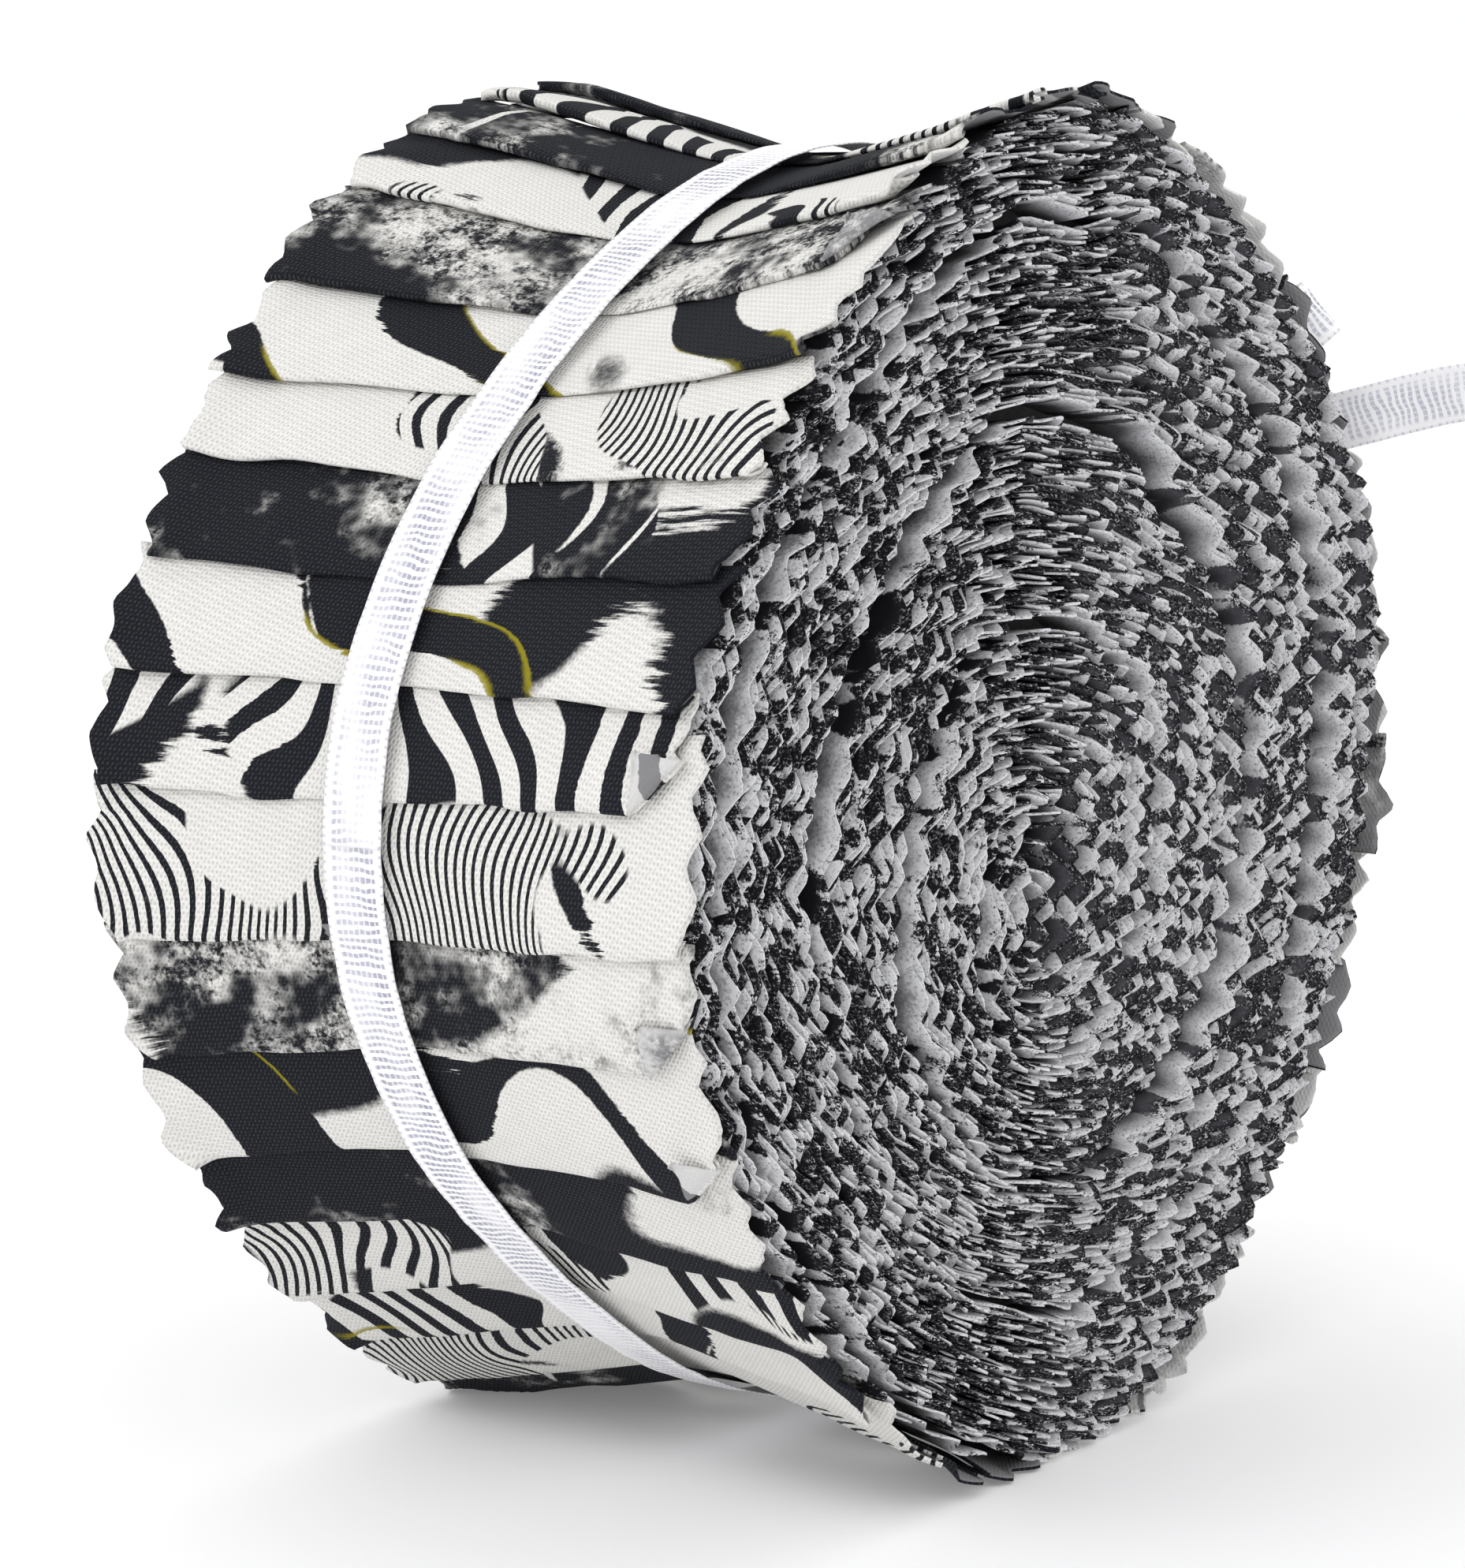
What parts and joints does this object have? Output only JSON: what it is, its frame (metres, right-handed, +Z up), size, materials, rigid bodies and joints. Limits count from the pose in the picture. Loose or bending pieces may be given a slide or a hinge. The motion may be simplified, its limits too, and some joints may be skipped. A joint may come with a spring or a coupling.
{
  "type": "jelly roll of fabric strips",
  "caption": "Precut cotton strips with pinked edges wound into a drum, standing on its round side and tied at the waist with a narrow sheer ribbon and a bow.",
  "frame": {"origin": "on the floor under the middle of the drum", "axes": "+X along the axis of the winding towards the end face that shows, -Y towards the side of the wall that faces the front, +Z up"},
  "size_m": [0.0966, 0.1476, 0.1307],
  "materials": {
    "printed_cotton": "fine cotton weave printed in black, grey and white, cut edges pinked",
    "sheer_ribbon": "sheer woven white ribbon with solid selvedges, soft sheen"
  },
  "bodies": {
    "root": {"roll": "printed_cotton", "ribbon_band": "sheer_ribbon", "ribbon_knot": "sheer_ribbon", "bow_loop_a": "sheer_ribbon", "bow_loop_b": "sheer_ribbon", "ribbon_tail_a": "sheer_ribbon", "ribbon_tail_b": "sheer_ribbon"}
  },
  "joints": []
}
